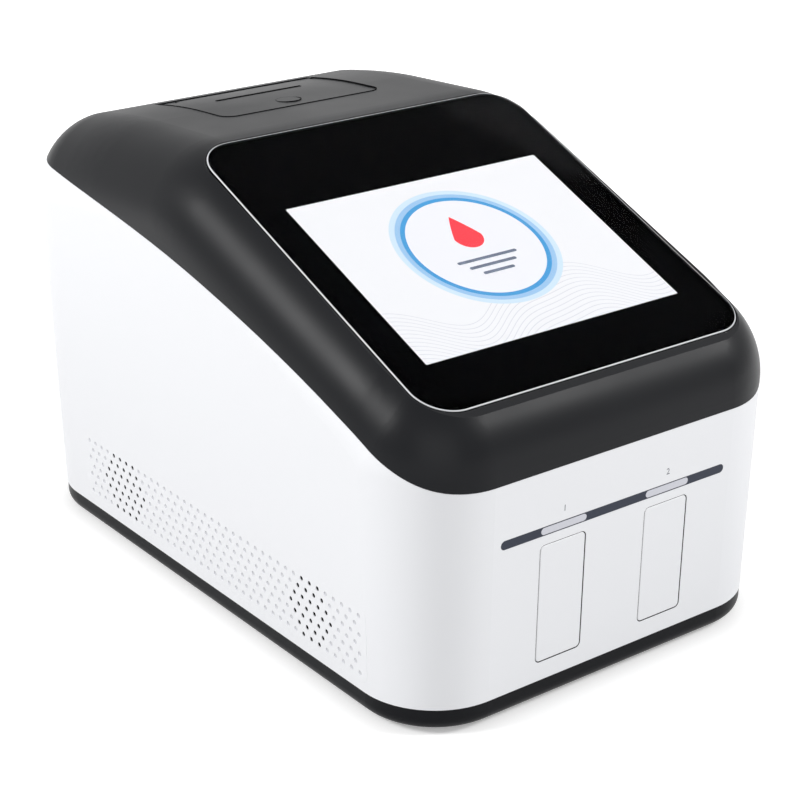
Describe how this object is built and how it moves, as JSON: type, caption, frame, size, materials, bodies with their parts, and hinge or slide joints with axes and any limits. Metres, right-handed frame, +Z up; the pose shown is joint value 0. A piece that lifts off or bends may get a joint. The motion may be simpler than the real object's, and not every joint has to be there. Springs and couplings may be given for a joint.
{
  "type": "blood analyzer",
  "caption": "Bench-top blood analyzer with tilted touch screen, motor-driven sample drawers behind narrow doors, status lights, receipt printer under a hinged lid, fan and rear sockets",
  "frame": {"origin": "centre of the footprint on the table, at the underside of the rubber feet", "axes": "+Z is up, -Y is the front with the two doors, +X is to the right of someone who faces the screen; +Y runs along the longest extent"},
  "size_m": [0.2482, 0.3772, 0.2454],
  "materials": {
    "white_shell": "fine satin",
    "black_shell": "satin",
    "base_plastic": "satin",
    "foot_rubber": "matt",
    "screen_glass": "polished, black behind the border",
    "lcd_face": "lit picture",
    "zinc_sheet": "zinc plated",
    "steel": "ground",
    "screw_steel": "plated",
    "strip_slate": "satin",
    "light_diffuser": "milky",
    "board_green": "solder mask",
    "carrier_grey": "satin",
    "gear_nylon": "natural nylon",
    "motor_metal": "black paint",
    "optics_metal": "anodised",
    "frame_plastic": "satin",
    "paper": "thermal paper",
    "card": "cardboard",
    "roller_rubber": "ground",
    "ceramic": "glazed",
    "socket_metal": "tinned",
    "supply_metal": "plain sheet",
    "heat_sink_metal": "black anodised",
    "rocker_plastic": "gloss"
  },
  "bodies": {
    "casing": {"housing": "white_shell", "top_cover": "black_shell", "base_tray": "base_plastic", "rubber_feet": "foot_rubber", "display_glass": "screen_glass", "lcd_panel": "lcd_face", "lcd_bracket": "zinc_sheet", "chassis_plate": "zinc_sheet", "motor_bracket": "zinc_sheet", "case_screws": "screw_steel", "chassis_bolts": "screw_steel", "bracket_bolts": "screw_steel", "board_standoffs": "screw_steel", "left_rods": "steel", "right_rods": "steel", "hinge_pin": "steel", "front_strip": "strip_slate", "left_light": "light_diffuser", "right_light": "light_diffuser", "led_strip": "board_green", "display_board": "board_green", "mainboard": "board_green", "left_slide": "frame_plastic", "right_slide": "frame_plastic", "left_motor": "motor_metal", "right_motor": "motor_metal", "left_optics": "optics_metal", "right_optics": "optics_metal", "printer_well": "frame_plastic", "head_mount": "supply_metal", "print_head": "ceramic", "heat_sink": "heat_sink_metal", "lan_socket": "socket_metal", "usb_socket": "socket_metal", "power_supply": "supply_metal", "power_inlet": "frame_plastic", "switch_frame": "frame_plastic", "fan_frame": "frame_plastic"},
    "left_drawer": {"left_door": "white_shell", "left_carrier": "carrier_grey", "left_rack": "gear_nylon"},
    "right_drawer": {"right_door": "white_shell", "right_carrier": "carrier_grey", "right_rack": "gear_nylon"},
    "left_gear": {"left_pinion": "gear_nylon"},
    "right_gear": {"right_pinion": "gear_nylon"},
    "lid": {"printer_lid": "black_shell", "button_cup": "frame_plastic"},
    "button": {"lid_button": "black_shell"},
    "platen": {"platen_rubber": "roller_rubber", "platen_axle": "steel"},
    "roll": {"paper_roll": "paper", "roll_core": "card", "roll_spindle": "frame_plastic"},
    "rocker": {"switch_rocker": "rocker_plastic"},
    "rotor": {"fan_rotor": "frame_plastic"}
  },
  "joints": [
    {"name": "left_drawer_slide", "type": "slide", "parent": "casing", "child": "left_drawer", "axis": [0, -1, 0], "range_m": [0, 0.07]},
    {"name": "right_drawer_slide", "type": "slide", "parent": "casing", "child": "right_drawer", "axis": [0, -1, 0], "range_m": [0, 0.07]},
    {"name": "left_gear_turn", "type": "hinge", "parent": "casing", "child": "left_gear", "pos_m": [-0.0126, -0.14, 0.0365], "axis": [0, 0, 1], "range_deg": [0, 502]},
    {"name": "right_gear_turn", "type": "hinge", "parent": "casing", "child": "right_gear", "pos_m": [0.0126, -0.14, 0.0365], "axis": [0, 0, -1], "range_deg": [0, 502]},
    {"name": "lid_hinge", "type": "hinge", "parent": "casing", "child": "lid", "pos_m": [0, 0.14259, 0.23188], "axis": [-1, 0, 0], "range_deg": [0, 95]},
    {"name": "button_press", "type": "slide", "parent": "lid", "child": "button", "axis": [0, -0.1028, -0.9947], "range_m": [0, 0.0015], "stiffness_N_per_m": 300, "springref_m": -0.001},
    {"name": "platen_turn", "type": "hinge", "parent": "lid", "child": "platen", "pos_m": [0, 0.12148, 0.22703], "axis": [1, 0, 0], "continuous": true},
    {"name": "roll_turn", "type": "hinge", "parent": "casing", "child": "roll", "pos_m": [0, 0.09553, 0.20457], "axis": [1, 0, 0], "continuous": true},
    {"name": "rocker_tilt", "type": "hinge", "parent": "casing", "child": "rocker", "pos_m": [0.057, 0.18249, 0.08207], "axis": [1, 0, 0], "range_deg": [0, 16]},
    {"name": "rotor_turn", "type": "hinge", "parent": "casing", "child": "rotor", "pos_m": [-0.044, 0.17871, 0.09216], "axis": [0, 0.9998, -0.022], "continuous": true}
  ],
  "couplings": [
    {"joint": "left_gear_turn", "follows": "left_drawer_slide", "rad_per_m": 125},
    {"joint": "right_gear_turn", "follows": "right_drawer_slide", "rad_per_m": 125}
  ]
}
